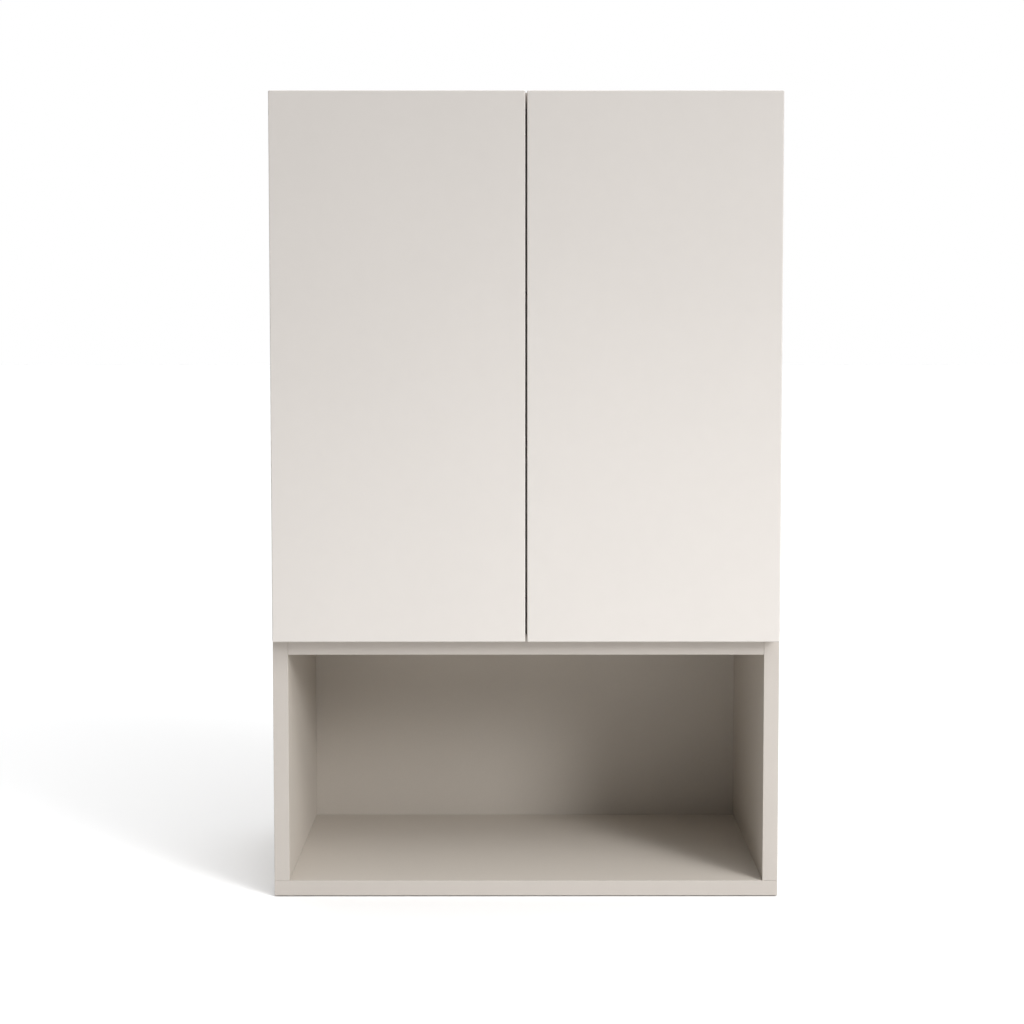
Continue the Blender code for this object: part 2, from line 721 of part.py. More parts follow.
def add_latches(cabinet, pivots, plastic, steel, holes, door_holes):
    """Push-to-open latches under the top, one near the free edge of each door."""
    bore = BARREL_RADIUS - BARREL_WALL
    rear_wall = BARREL_FRONT + BARREL_LENGTH - BARREL_WALL
    for name, side in SIDES.items():
        x = side * LATCH_FROM_MIDDLE
        bm = bmesh.new()
        profile = (
            (0, BARREL_LENGTH),
            (BARREL_RADIUS, BARREL_LENGTH),
            (BARREL_RADIUS, BARREL_FLANGE_DEPTH),
            (BARREL_FLANGE, BARREL_FLANGE_DEPTH),
            (BARREL_FLANGE, 0),
            (bore, 0),
            (bore, BARREL_LENGTH - BARREL_WALL),
            (0, BARREL_LENGTH - BARREL_WALL),
        )
        turned(bm, profile, (x, BARREL_FRONT, LATCH_Z), (0, 1, 0), ROUND_STEPS)
        place(f"{name}_latch_barrel", bm, plastic, cabinet, (x, BARREL_FRONT, LATCH_Z), True)
        add_holder(name, x, cabinet, plastic, steel, holes)
        bm = bmesh.new()
        radius = bore - SEAM
        profile = (
            (0, 0),
            (radius - PLUNGER_NOSE, 0),
            (radius, PLUNGER_NOSE),
            (radius, PLUNGER_LENGTH),
            (0, PLUNGER_LENGTH),
        )
        turned(bm, profile, (x, PLUNGER_TIP, LATCH_Z), (0, 1, 0), ROUND_STEPS)
        place(f"{name}_latch_plunger", bm, plastic, cabinet, (x, PLUNGER_TIP, LATCH_Z), True)
        ends = (PLUNGER_TIP + PLUNGER_LENGTH + SEAM, rear_wall - SEAM)
        add_spring(f"{name}_latch_spring", x, ends, bore - SEAM - SPRING_WIRE, steel, cabinet)
        add_strike(name, side, x, pivots, steel, door_holes)


def add_holder(name, x, cabinet, plastic, steel, holes):
    """Screw-on holder of the barrel: one profile with two ears, bored along its length."""
    top = TOP_LOW - SEAM
    body = BARREL_RADIUS + SEAM + HOLDER_WALL
    ear = body + HOLDER_EAR
    start = BARREL_FRONT + BARREL_FLANGE_DEPTH + SEAM
    ear_low = top - HOLDER_EAR_DEPTH
    outline = [(ear, top), (-ear, top), (-ear, ear_low), (-body, ear_low)]
    outline += arc((0, LATCH_Z), body, 180, 360, 10)
    outline += [(body, ear_low), (ear, ear_low)]
    bm = bmesh.new()
    prism(bm, [(x + dx, start, z) for dx, z in outline], (0, HOLDER_LENGTH, 0))
    middle = start + HOLDER_LENGTH / 2
    holder = place(f"{name}_latch_holder", bm, plastic, cabinet, (x, middle, LATCH_Z), True)
    openings = bmesh.new()
    first = (x, start - OVERCUT, LATCH_Z)
    last = (x, start + HOLDER_LENGTH + OVERCUT, LATCH_Z)
    rod(openings, first, last, BARREL_RADIUS + SEAM, ROUND_STEPS)
    screw = (
        (0, LATCH_SCREW_LENGTH),
        (LATCH_SCREW_RADIUS, LATCH_SCREW_LENGTH),
        (LATCH_SCREW_RADIUS, -HOLDER_EAR_DEPTH - SEAM),
        (LATCH_SCREW_HEAD, -HOLDER_EAR_DEPTH - SEAM),
        (LATCH_SCREW_HEAD, -HOLDER_EAR_DEPTH - SEAM - LATCH_SCREW_HEAD_DEPTH / 2),
        (LATCH_SCREW_RADIUS, -HOLDER_EAR_DEPTH - SEAM - LATCH_SCREW_HEAD_DEPTH),
        (0, -HOLDER_EAR_DEPTH - SEAM - LATCH_SCREW_HEAD_DEPTH),
    )
    for label, end in (("outer", math.copysign(1, x)), ("inner", -math.copysign(1, x))):
        spot = (x + end * (body + HOLDER_EAR / 2), middle, top)
        bm = bmesh.new()
        turned(bm, screw, spot, (0, 0, 1), COARSE_STEPS)
        fixing = place(f"{name}_latch_{label}_screw", bm, steel, cabinet, spot, True)
        recess = bmesh.new()
        drive(recess, (spot[0], spot[1], top + screw[-1][1]), (0, 0, -1), LATCH_SCREW_RADIUS)
        cut(fixing, recess)
        low = (spot[0], spot[1], ear_low - OVERCUT)
        rod(openings, low, (spot[0], spot[1], top + OVERCUT), LATCH_SCREW_RADIUS + SEAM, COARSE_STEPS)
        mouth = (spot[0], spot[1], TOP_LOW - OVERCUT)
        floor = (spot[0], spot[1], top + LATCH_SCREW_LENGTH + HOLE_FLOOR)
        rod(holes["top"], mouth, floor, LATCH_SCREW_RADIUS + SEAM, COARSE_STEPS)
    cut(holder, openings)


def add_spring(name, x, ends, radius, material, parent):
    """Compression spring of the latch, one helical wire."""
    first = ends[0] + SPRING_WIRE
    last = ends[1] - SPRING_WIRE
    count = SPRING_TURNS * SPRING_POINTS + 1
    curve = bpy.data.curves.new(name, "CURVE")
    curve.dimensions = "3D"
    curve.bevel_depth = SPRING_WIRE
    curve.bevel_resolution = 1
    curve.use_fill_caps = True
    wire = curve.splines.new("POLY")
    wire.points.add(count - 1)
    for i in range(count):
        angle = 2 * math.pi * i / SPRING_POINTS
        along = (last - first) * i / (count - 1)
        wire.points[i].co = (radius * math.cos(angle), along, radius * math.sin(angle), 1)
    pitch = (last - first) / SPRING_TURNS
    print(name, "least gap between turns in mm:", round((pitch - 2 * SPRING_WIRE) / MM, 2))
    curve.materials.append(material)
    spring = bpy.data.objects.new(name, curve)
    bpy.context.scene.collection.objects.link(spring)
    spring.parent = parent
    spring.location = (x, first, LATCH_Z)
    return spring


def add_strike(name, side, x, pivots, steel, door_holes):
    """Steel strike that the magnetic plunger tip meets, pegged into the back of the door."""
    profile = (
        (0, -STRIKE_PEG_LENGTH),
        (STRIKE_PEG_RADIUS, -STRIKE_PEG_LENGTH),
        (STRIKE_PEG_RADIUS, SEAM),
        (STRIKE_RADIUS, SEAM),
        (STRIKE_RADIUS, SEAM + STRIKE),
        (0, SEAM + STRIKE),
    )
    bm = bmesh.new()
    turned(bm, profile, (x, DOOR_BACK, LATCH_Z), (0, 1, 0), ROUND_STEPS)
    place(f"{name}_door_strike", bm, steel, pivots[name], (x, DOOR_BACK, LATCH_Z), True)
    floor = (x, DOOR_BACK - STRIKE_PEG_LENGTH - HOLE_FLOOR, LATCH_Z)
    rod(door_holes[name], (x, DOOR_BACK + OVERCUT, LATCH_Z), floor, STRIKE_PEG_RADIUS + SEAM, COARSE_STEPS)


def add_rail(cabinet, zinc):
    """Folded rail screwed to the wall. The hooks drop behind its raised lip."""
    half = INNER_X - RAIL_END_PLAY
    low = RAIL_Z - RAIL_BASE / 2
    top = RAIL_Z + RAIL_BASE / 2
    step = top - RAIL_SHEET
    lip = LIP_TOP
    section = (
        (0, low),
        (0, top),
        (RAIL_SHEET - RAIL_STEP, top),
        (RAIL_SHEET - RAIL_STEP, lip),
        (-RAIL_STEP, lip),
        (-RAIL_STEP, step),
        (-RAIL_SHEET, step),
        (-RAIL_SHEET, low),
    )
    bm = bmesh.new()
    prism(bm, [(-half, y, z) for y, z in section], (2 * half, 0, 0))
    rail = place("wall_rail", bm, zinc, cabinet, (0, 0, RAIL_Z))
    openings = bmesh.new()
    for x in RAIL_HOLES:
        for side in SIDES.values():
            start = (side * x, -RAIL_SHEET - OVERCUT, RAIL_Z)
            rod(openings, start, (side * x, OVERCUT, RAIL_Z), RAIL_HOLE, ROUND_STEPS)
    cut(rail, openings)


def add_hangers(cabinet, zinc, steel, plastic, holes):
    for name, side in SIDES.items():
        add_housing(name, side, cabinet, zinc, holes)
        add_hook(name, side, cabinet, zinc)
        add_adjusters(name, side, cabinet, steel)
        add_cover(name, side, cabinet, plastic)


def add_housing(name, side, cabinet, zinc, holes):
    """Folded housing, open to the front and to the middle, pegged into the side panel."""
    outer = INNER_X - SEAM
    bm = bmesh.new()
    span_box(bm, side, outer, outer - HANGER_WIDTH, (HANGER_FRONT, HANGER_REAR), (HANGER_LOW, HANGER_TOP))
    middle = (HANGER_LOW + HANGER_TOP) / 2
    housing = place(f"{name}_hanger_housing", bm, zinc, cabinet, (side * INNER_X, HANGER_REAR, middle))
    hollow = bmesh.new()
    span_box(
        hollow,
        side,
        outer - HANGER_SHEET,
        outer - HANGER_WIDTH - OVERCUT,
        (HANGER_FRONT - OVERCUT, HANGER_REAR - HANGER_SHEET),
        (HANGER_LOW + HANGER_SHEET, HANGER_TOP - HANGER_SHEET),
    )
    cut(housing, hollow)
    slot = bmesh.new()
    hook_slot(slot, side, (HANGER_REAR - HANGER_SHEET - OVERCUT, HANGER_REAR + OVERCUT))
    cut(housing, slot)
    hook_slot(holes["back"], side, (BACK_FACE - OVERCUT, -BACK_INSET + OVERCUT))
    pegs = bmesh.new()
    y_middle = (HANGER_FRONT + HANGER_REAR) / 2
    for end in (-1, 1):
        y = y_middle + end * HANGER_PEG_PITCH / 2
        start = side * (outer - HANGER_SHEET / 2)
        tip = side * (INNER_X + HANGER_PEG_LENGTH)
        rod(pegs, (start, y, middle), (tip, y, middle), HANGER_PEG_RADIUS, ROUND_STEPS)
        mouth = side * (INNER_X - OVERCUT)
        floor = side * (INNER_X + HANGER_PEG_LENGTH + HOLE_FLOOR)
        rod(holes[name], (mouth, y, middle), (floor, y, middle), HANGER_PEG_RADIUS + SEAM, ROUND_STEPS)
    join(housing, pegs)


def hook_slot(bm, side, y):
    """Room for the hook to pass and to be raised and lowered."""
    near = HOOK_X + HOOK / 2 + SEAM
    far = HOOK_X - HOOK / 2 - HOOK_TRAVEL
    span_box(bm, side, near, far, y, (HOOK_LOW - HOOK_TRAVEL, HOOK_TOP + HOOK_TRAVEL))


def add_hook(name, side, cabinet, zinc):
    """Flat hook that reaches through the back over the lip of the rail."""
    body_end = -RAIL_STEP - HOOK_TRAVEL
    tip_front = RAIL_SHEET - RAIL_STEP + SEAM
    tip_back = tip_front + HOOK_TIP
    front = HANGER_REAR - HOOK_LENGTH
    arm_low = LIP_TOP + SEAM
    outline = (
        (front, HOOK_LOW),
        (body_end, HOOK_LOW),
        (body_end, arm_low),
        (tip_front, arm_low),
        (tip_front, arm_low - HOOK_DROP + HOOK_TIP / 2),
        (tip_front + HOOK_TIP / 2, arm_low - HOOK_DROP),
        (tip_back, arm_low - HOOK_DROP),
        (tip_back, HOOK_TOP - HOOK_TIP),
        (tip_back - HOOK_TIP, HOOK_TOP),
        (front + HOOK_TRAVEL, HOOK_TOP),
        (front, HOOK_TOP - HOOK_TRAVEL),
    )
    bm = bmesh.new()
    start = side * (HOOK_X + HOOK / 2)
    prism(bm, [(start, y, z) for y, z in outline], (-side * HOOK, 0, 0))
    place(f"{name}_hanger_hook", bm, zinc, cabinet, (side * HOOK_X, front, HOOK_TOP))


def adjuster_heights():
    drop = SEAM + ADJUSTER_HEAD
    return {"height": HOOK_LOW - drop, "depth": HOOK_TOP + drop}


def add_adjusters(name, side, cabinet, steel):
    """Two screws that raise the cabinet and draw it to the wall, worked from the front."""
    end = HANGER_REAR - HANGER_SHEET - SEAM
    start = HANGER_FRONT + SEAM
    profile = (
        (0, 0),
        (ADJUSTER_HEAD, 0),
        (ADJUSTER_HEAD, ADJUSTER_HEAD_DEPTH),
        (ADJUSTER_RADIUS, ADJUSTER_HEAD_DEPTH),
        (ADJUSTER_RADIUS, end - start),
        (0, end - start),
    )
    for label, z in adjuster_heights().items():
        bm = bmesh.new()
        spot = (side * ADJUSTER_X, start, z)
        turned(bm, profile, spot, (0, 1, 0), COARSE_STEPS)
        adjuster = place(f"{name}_hanger_{label}_screw", bm, steel, cabinet, spot, True)
        recess = bmesh.new()
        drive(recess, spot, (0, -1, 0), ADJUSTER_HEAD)
        cut(adjuster, recess)


def add_cover(name, side, cabinet, plastic):
    """Push-on cap over the housing with two tool holes and a sloped inner corner."""
    outer = INNER_X - SEAM
    inside = outer - HANGER_WIDTH - SEAM
    face = inside - COVER_WALL
    front = HANGER_FRONT - SEAM - COVER_WALL
    low = HANGER_LOW - SEAM - COVER_WALL
    high = HANGER_TOP + SEAM + COVER_WALL
    plan = ((outer, front), (outer, HANGER_REAR), (face, HANGER_REAR), (face, front + COVER_NOSE))
    plan += ((face + COVER_NOSE, front),)
    bm = bmesh.new()
    prism(bm, [(side * x, y, low) for x, y in plan], (0, 0, high - low))
    middle = (low + high) / 2
    cover = place(f"{name}_hanger_cover", bm, plastic, cabinet, (side * outer, HANGER_REAR, middle))
    hollow = bmesh.new()
    span_box(
        hollow,
        side,
        outer + OVERCUT,
        inside,
        (HANGER_FRONT - SEAM, HANGER_REAR + OVERCUT),
        (HANGER_LOW - SEAM, HANGER_TOP + SEAM),
    )
    cut(cover, hollow)
    tool_holes = bmesh.new()
    for z in adjuster_heights().values():
        start = (side * ADJUSTER_X, front - OVERCUT, z)
        rod(tool_holes, start, (side * ADJUSTER_X, HANGER_FRONT + OVERCUT, z), ADJUSTER_HEAD, ROUND_STEPS)
    cut(cover, tool_holes)


def main():
    clear_scene()
    carcass_finish = finish("carcass_melamine", (0.53, 0.48, 0.42), 0.45)
    door_finish = finish("door_lacquer", (0.70, 0.65, 0.60), 0.40)
    nickel = finish("hinge_nickel", (0.66, 0.65, 0.63), 0.28, 1.0)
    steel = finish("fixing_steel", (0.58, 0.58, 0.57), 0.35, 1.0)
    zinc = finish("hanger_zinc", (0.55, 0.56, 0.57), 0.45, 1.0)
    plastic = finish("fitting_plastic", (0.42, 0.42, 0.41), 0.50)

    cabinet = pivot("cabinet", (0, 0, -RAIL_Z))
    pivots = {
        name: pivot(f"{name}_door_axis", (side * AXIS_X, AXIS_Y, DOOR_LOW), cabinet)
        for name, side in SIDES.items()
    }
    holes = {key: bmesh.new() for key in ("left", "right", "top", "bottom", "back")}
    door_holes = {name: bmesh.new() for name in SIDES}

    boards = add_carcass(cabinet, carcass_finish, holes)
    add_shelves(cabinet, carcass_finish, steel, holes)
    doors = add_doors(pivots, door_finish)
    add_hinges(cabinet, pivots, nickel, steel, holes, door_holes)
    add_latches(cabinet, pivots, plastic, steel, holes, door_holes)
    add_rail(cabinet, zinc)
    add_hangers(cabinet, zinc, steel, plastic, holes)
    for key, bm in holes.items():
        cut(boards[key], bm)
    for name, bm in door_holes.items():
        cut(doors[name], bm)


main()
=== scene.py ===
"""Looks of the wall cabinet: finishes, glue lines, floor, light and camera.

Lengths are metres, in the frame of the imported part: the wall plane is y = 0 and +z is up.
Angles of the constants are degrees, and colours are linear.
"""

import json
import math

import bmesh
import bpy
from mathutils import Euler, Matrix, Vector


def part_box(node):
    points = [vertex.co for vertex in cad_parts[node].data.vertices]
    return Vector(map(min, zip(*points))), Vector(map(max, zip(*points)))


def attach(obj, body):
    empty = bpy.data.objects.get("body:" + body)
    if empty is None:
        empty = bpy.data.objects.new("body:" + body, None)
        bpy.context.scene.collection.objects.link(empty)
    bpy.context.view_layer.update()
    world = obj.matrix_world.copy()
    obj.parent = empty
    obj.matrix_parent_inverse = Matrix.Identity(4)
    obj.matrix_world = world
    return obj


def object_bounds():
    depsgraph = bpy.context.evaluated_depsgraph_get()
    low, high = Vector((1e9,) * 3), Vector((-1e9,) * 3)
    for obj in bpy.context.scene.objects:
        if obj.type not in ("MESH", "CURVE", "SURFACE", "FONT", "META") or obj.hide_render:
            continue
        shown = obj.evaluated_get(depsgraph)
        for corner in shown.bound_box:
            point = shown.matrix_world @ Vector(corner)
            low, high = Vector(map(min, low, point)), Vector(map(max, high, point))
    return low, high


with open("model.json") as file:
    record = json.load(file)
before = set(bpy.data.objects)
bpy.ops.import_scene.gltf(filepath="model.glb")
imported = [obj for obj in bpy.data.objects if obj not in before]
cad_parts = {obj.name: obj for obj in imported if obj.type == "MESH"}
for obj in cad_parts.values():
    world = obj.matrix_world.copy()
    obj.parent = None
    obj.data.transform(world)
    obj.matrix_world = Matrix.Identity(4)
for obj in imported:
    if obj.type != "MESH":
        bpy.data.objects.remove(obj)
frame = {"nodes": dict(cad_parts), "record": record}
cad_box = [list(corner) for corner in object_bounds()]

MM = 0.001

# Camera, from a fit to the photographed edges
CAMERA_PLACE = (-9.50 * MM, -2287.25 * MM, -206.98 * MM)
CAMERA_PITCH = 3.0683
CAMERA_YAW = 0.0454
CAMERA_LENS = 59.506
CAMERA_SENSOR = 36.0
CAMERA_SHIFT = (-0.00715, -0.08984)

# Ambient light, in lobes of an azimuth, an elevation, a power and a strength
LOBES = (
    (0, 90, 4, 2.065),
    (41, 43.3, 18, 2.02),
    (180, 30, 4, 1.32),
    (0, 50, 8, 0.40),
)
LIGHT_COLOUR = (0.985, 1.0, 1.02)
BACKGROUND = 1.0
GLOSS_FILL = 0.35

# Lamps, each from an azimuth, an elevation and a distance to the point that it aims at
SOFTBOX_SIZE = 1.4
SOFTBOX_POWER = 44.0
SOFTBOX_AIM = (0, -0.2, -0.45)
SOFTBOX_FROM = (52, 39, 4.0)
SPOT_RADIUS = 0.47
SPOT_POWER = 194.6
SPOT_CONE = 35.4
SPOT_AIM = (-0.04, -0.35, -0.89)
SPOT_FROM = (45.6, 27.1, 3.0)

# Colours of the finishes
MELAMINE = (0.506, 0.460, 0.405)
# The edge band is a shade lighter than the face: painted light on the front faces of the boards.
EDGE_BAND_PAINTED_LIGHT = (0.533, 0.488, 0.442)
LACQUER = (0.673, 0.631, 0.589)
NICKEL = (0.82, 0.80, 0.77)
STEEL = (0.66, 0.66, 0.65)
ZINC = (0.66, 0.67, 0.68)
PLASTIC = (0.50, 0.495, 0.48)
GLUE = (0.40, 0.36, 0.31)

# Boards, where the edge band gives way to the printed face between two depths from the front
BAND_END = 0.5 * MM
FACE_START = 0.7 * MM
BOARD_SPECULAR = 0.3

# Joints between the boards
BOARD = 18 * MM
SEAM = 0.3 * MM
GLUE_PLAY = 0.02 * MM
GLUE_INSET = 0.45 * MM
GLUE_WIDTH = 3.5 * MM

# Floor, which sends back light that is weaker than its shade by the factor FLOOR_BOUNCE
FLOOR = (0.925, 0.9125, 0.897)
FLOOR_BOUNCE = 0.848
FLOOR_GAP = 1.2 * MM
FLOOR_SIZE = 60.0

# Shading across the facets
WELD = 0.002 * MM
SHARP_ANGLE = 50.0

# Middle half of a noise
NOISE_LOW = 0.25
NOISE_HIGH = 0.75

# Sockets of a colour mix
MIX_FACTOR = 0
MIX_A = 6
MIX_B = 7
MIX_RESULT = 2


def add_node(tree, kind, inputs=None, **settings):
    """One node of a material, world or modifier. Inputs are sockets to link from, or values."""
    made = tree.nodes.new(kind)
    for key, value in settings.items():
        setattr(made, key, value)
    for key, value in (inputs or {}).items():
        if isinstance(value, bpy.types.NodeSocket):
            tree.links.new(value, made.inputs[key])
        else:
            made.inputs[key].default_value = value
    return made


def new_material(name):
    material = bpy.data.materials.new(name)
    material.use_nodes = True
    tree = material.node_tree
    shader = tree.nodes["Principled BSDF"]
    place = add_node(tree, "ShaderNodeTexCoord").outputs["Object"]
    return material, tree, shader, place


def noise(tree, place, scale, detail=2.0, stretch=None):
    """Noise between 0 and 1. Scale counts features in a metre."""
    if stretch:
        inputs = {"Vector": place, "Scale": stretch}
        place = add_node(tree, "ShaderNodeMapping", inputs).outputs["Vector"]
    inputs = {"Vector": place, "Scale": scale, "Detail": detail}
    return add_node(tree, "ShaderNodeTexNoise", inputs).outputs["Fac"]


def ramp(tree, value, start, end, low, high):
    """Maps start to low and end to high."""
    inputs = {"Value": value, "From Min": start, "From Max": end, "To Min": low, "To Max": high}
    return add_node(tree, "ShaderNodeMapRange", inputs).outputs["Result"]


def spread(tree, value, low, high):
    """Maps the middle half of a noise to a range."""
    return ramp(tree, value, NOISE_LOW, NOISE_HIGH, low, high)


def tinted(tree, colour, factors):
    """A colour times each of the given factors."""
    result = colour if isinstance(colour, bpy.types.NodeSocket) else (*colour, 1.0)
    for factor in factors:
        inputs = {MIX_FACTOR: 1.0, MIX_A: result, MIX_B: factor}
        product = add_node(tree, "ShaderNodeMix", inputs, data_type="RGBA", blend_type="MULTIPLY")
        result = product.outputs[MIX_RESULT]
    return result


def paint(tree, shader, colour, factors, roughness):
    tree.links.new(tinted(tree, colour, factors), shader.inputs["Base Color"])
    tree.links.new(roughness, shader.inputs["Roughness"])


def bump(tree, shader, height, depth):
    made = add_node(tree, "ShaderNodeBump", {"Height": height, "Distance": depth})
    tree.links.new(made.outputs["Normal"], shader.inputs["Normal"])


def melamine():
    """Matt printed board with a fine pressed grain. The front edge band is painted a shade lighter
    for light on the front.
    """
    material, tree, shader, place = new_material("carcass_melamine")
    clouds = spread(tree, noise(tree, place, scale=5.0, detail=3.0), low=0.985, high=1.015)
    speckle = spread(tree, noise(tree, place, scale=900.0), low=0.98, high=1.02)
    depth = add_node(tree, "ShaderNodeSeparateXYZ", {"Vector": place}).outputs["Y"]
    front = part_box("bottom_panel")[0][1]
    face = ramp(tree, depth, start=front + BAND_END, end=front + FACE_START, low=0.0, high=1.0)
    # Painted light: the edge band on the front faces is a shade lighter, for the light that falls
    # on them.
    shades = {MIX_FACTOR: face, MIX_A: (*EDGE_BAND_PAINTED_LIGHT, 1), MIX_B: (*MELAMINE, 1)}
    mix = add_node(tree, "ShaderNodeMix", shades, data_type="RGBA")
    roughness = spread(tree, noise(tree, place, scale=40.0, detail=3.0), low=0.70, high=0.80)
    paint(tree, shader, mix.outputs[MIX_RESULT], (clouds, speckle), roughness)
    shader.inputs["Specular IOR Level"].default_value = BOARD_SPECULAR
    bump(tree, shader, noise(tree, place, scale=700.0, detail=3.0), depth=0.04 * MM)
    return material


def lacquer():
    """Smooth sprayed lacquer with a trace of orange peel."""
    material, tree, shader, place = new_material("door_lacquer")
    clouds = spread(tree, noise(tree, place, scale=4.0), low=0.99, high=1.01)
    mottle = spread(tree, noise(tree, place, scale=60.0, detail=3.0), low=0.994, high=1.006)
    roughness = spread(tree, noise(tree, place, scale=25.0, detail=3.0), low=0.38, high=0.46)
    paint(tree, shader, LACQUER, (clouds, mottle), roughness)
    bump(tree, shader, noise(tree, place, scale=260.0), depth=0.02 * MM)
    return material


def metal(name, colour, roughness, stretch):
    """Plated steel, drawn or tumbled, with faint streaks."""
    material, tree, shader, place = new_material(name)
    streaks = noise(tree, place, scale=500.0, detail=3.0, stretch=stretch)
    shine = spread(tree, streaks, low=0.97, high=1.02)
    stains = spread(tree, noise(tree, place, scale=70.0), low=0.96, high=1.02)
    rough = spread(tree, streaks, low=roughness - 0.05, high=roughness + 0.06)
    paint(tree, shader, colour, (shine, stains), rough)
    shader.inputs["Metallic"].default_value = 1.0
    bump(tree, shader, streaks, depth=0.002 * MM)
    return material


def zinc():
    """Galvanised sheet with small crystal spangles."""
    material, tree, shader, place = new_material("hanger_zinc")
    cells = add_node(tree, "ShaderNodeTexVoronoi", {"Vector": place, "Scale": 260.0})
    split = add_node(tree, "ShaderNodeSeparateColor", {"Color": cells.outputs["Color"]})
    spangle = split.outputs["Red"]
    shine = ramp(tree, spangle, start=0.0, end=1.0, low=0.93, high=1.05)
    dust = spread(tree, noise(tree, place, scale=900.0), low=0.96, high=1.03)
    rough = ramp(tree, spangle, start=0.0, end=1.0, low=0.34, high=0.5)
    paint(tree, shader, ZINC, (shine, dust), rough)
    shader.inputs["Metallic"].default_value = 1.0
    bump(tree, shader, noise(tree, place, scale=400.0), depth=0.004 * MM)
    return material


def plastic():
    """Moulded plastic with a fine eroded texture."""
    material, tree, shader, place = new_material("fitting_plastic")
    grain = noise(tree, place, scale=1500.0)
    clouds = spread(tree, noise(tree, place, scale=60.0), low=0.96, high=1.04)
    paint(tree, shader, PLASTIC, (clouds,), spread(tree, grain, low=0.42, high=0.55))
    bump(tree, shader, grain, depth=0.015 * MM)
    return material


def glue():
    """Glue and board core seen in a joint."""
    material, tree, shader, place = new_material("joint_glue")
    grain = noise(tree, place, scale=1200.0, detail=3.0)
    shade = spread(tree, grain, low=0.92, high=1.06)
    paint(tree, shader, GLUE, (shade,), spread(tree, grain, low=0.6, high=0.75))
    bump(tree, shader, grain, depth=0.01 * MM)
    return material


def smoothing():
    """Joins each node's facets and smooths the shading across all but the sharp edges."""
    tree = bpy.data.node_groups.new("smooth_facets", "GeometryNodeTree")
    for direction in ("INPUT", "OUTPUT"):
        tree.interface.new_socket("Geometry", in_out=direction, socket_type="NodeSocketGeometry")
    source = add_node(tree, "NodeGroupInput").outputs[0]
    joined = add_node(tree, "GeometryNodeMergeByDistance", {0: source, "Distance": WELD}).outputs[0]
    stripped = {0: joined, "Name": "custom_normal"}
    plain = add_node(tree, "GeometryNodeRemoveAttribute", stripped).outputs[0]
    smooth = add_node(tree, "GeometryNodeSetShadeSmooth", {0: plain}, domain="FACE").outputs[0]
    angle = add_node(tree, "GeometryNodeInputMeshEdgeAngle").outputs[0]
    limit = {0: angle, 1: math.radians(SHARP_ANGLE)}
    sharp = add_node(tree, "FunctionNodeCompare", limit, operation="GREATER_THAN").outputs[0]
    creases = {0: smooth, 1: sharp, 2: False}
    creased = add_node(tree, "GeometryNodeSetShadeSmooth", creases, domain="EDGE").outputs[0]
    add_node(tree, "NodeGroupOutput", {0: creased})
    return tree


def dress_nodes():
    """Gives every node its finish and smooth shading."""
    finishes = {
        "carcass_melamine": melamine(),
        "door_lacquer": lacquer(),
        "hinge_nickel": metal("hinge_nickel", NICKEL, roughness=0.36, stretch=(1, 0.12, 1)),
        "fixing_steel": metal("fixing_steel", STEEL, roughness=0.33, stretch=(1, 1, 1)),
        "hanger_zinc": zinc(),
        "fitting_plastic": plastic(),
    }
    facets = smoothing()
    for subpart in frame["record"]["subparts"]:
        node = frame["nodes"][subpart["node"]]
        node.data.materials.clear()
        node.data.materials.append(finishes[subpart["material_slot"]])
        smooth = node.modifiers.new("smooth_facets", "NODES")
        smooth.node_group = facets
        weighted = node.modifiers.new("flat_faces", "WEIGHTED_NORMAL")
        weighted.keep_sharp = True


def glue_ring(name, low, high, thin, material):
    """A flat frame of glue round the edge of a joint, which leaves the dowels clear."""
    across, along = [axis for axis in range(3) if axis != thin]
    bm = bmesh.new()
    loops = []
    for level in (low[thin], high[thin]):
        for inset in (0.0, GLUE_WIDTH):
            loop = []
            for a, b in ((0, 0), (1, 0), (1, 1), (0, 1)):
                point = [level, level, level]
                point[across] = (low[across] + inset, high[across] - inset)[a]
                point[along] = (low[along] + inset, high[along] - inset)[b]
                loop.append(bm.verts.new(point))
            loops.append(loop)
    outer_low, inner_low, outer_high, inner_high = loops
    for one, two in (
        (outer_low, inner_low),
        (inner_low, inner_high),
        (inner_high, outer_high),
        (outer_high, outer_low),
    ):
        for i in range(4):
            j = (i + 1) % 4
            bm.faces.new((one[i], one[j], two[j], two[i]))
    bmesh.ops.recalc_face_normals(bm, faces=bm.faces[:])
    mesh = bpy.data.meshes.new(name)
    bm.to_mesh(mesh)
    bm.free()
    mesh.materials.append(material)
    ring = bpy.data.objects.new(name, mesh)
    bpy.context.scene.collection.objects.link(ring)
    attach(ring, "carcass")


def add_glue():
    """Glue lines in the joints of the sides with the bottom, the top and the deck."""
    material = glue()
    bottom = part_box("bottom_panel")
    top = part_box("top_panel")
    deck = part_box("middle_deck")
    front = bottom[0][1] + GLUE_INSET
    back = bottom[1][1] - GLUE_INSET
    outer = bottom[1][0] - GLUE_INSET
    face = bottom[1][0] - BOARD
    inner = face + GLUE_INSET
    levels = {
        "bottom": (bottom[1][2] + GLUE_PLAY, bottom[1][2] + SEAM - GLUE_PLAY),
        "top": (top[0][2] - SEAM + GLUE_PLAY, top[0][2] - GLUE_PLAY),
    }
    for side, sign in (("left", -1), ("right", 1)):
        xs = sorted((sign * inner, sign * outer))
        for label, zs in levels.items():
            low = (xs[0], front, zs[0])
            high = (xs[1], back, zs[1])
            glue_ring(f"{side}_{label}_glue", low, high, thin=2, material=material)
        xs = sorted((sign * (face - GLUE_PLAY), sign * (face - SEAM + GLUE_PLAY)))
        low = (xs[0], front, deck[0][2] + GLUE_INSET)
        high = (xs[1], deck[1][1] - GLUE_INSET, deck[1][2] - GLUE_INSET)
        glue_ring(f"{side}_deck_glue", low, high, thin=0, material=material)


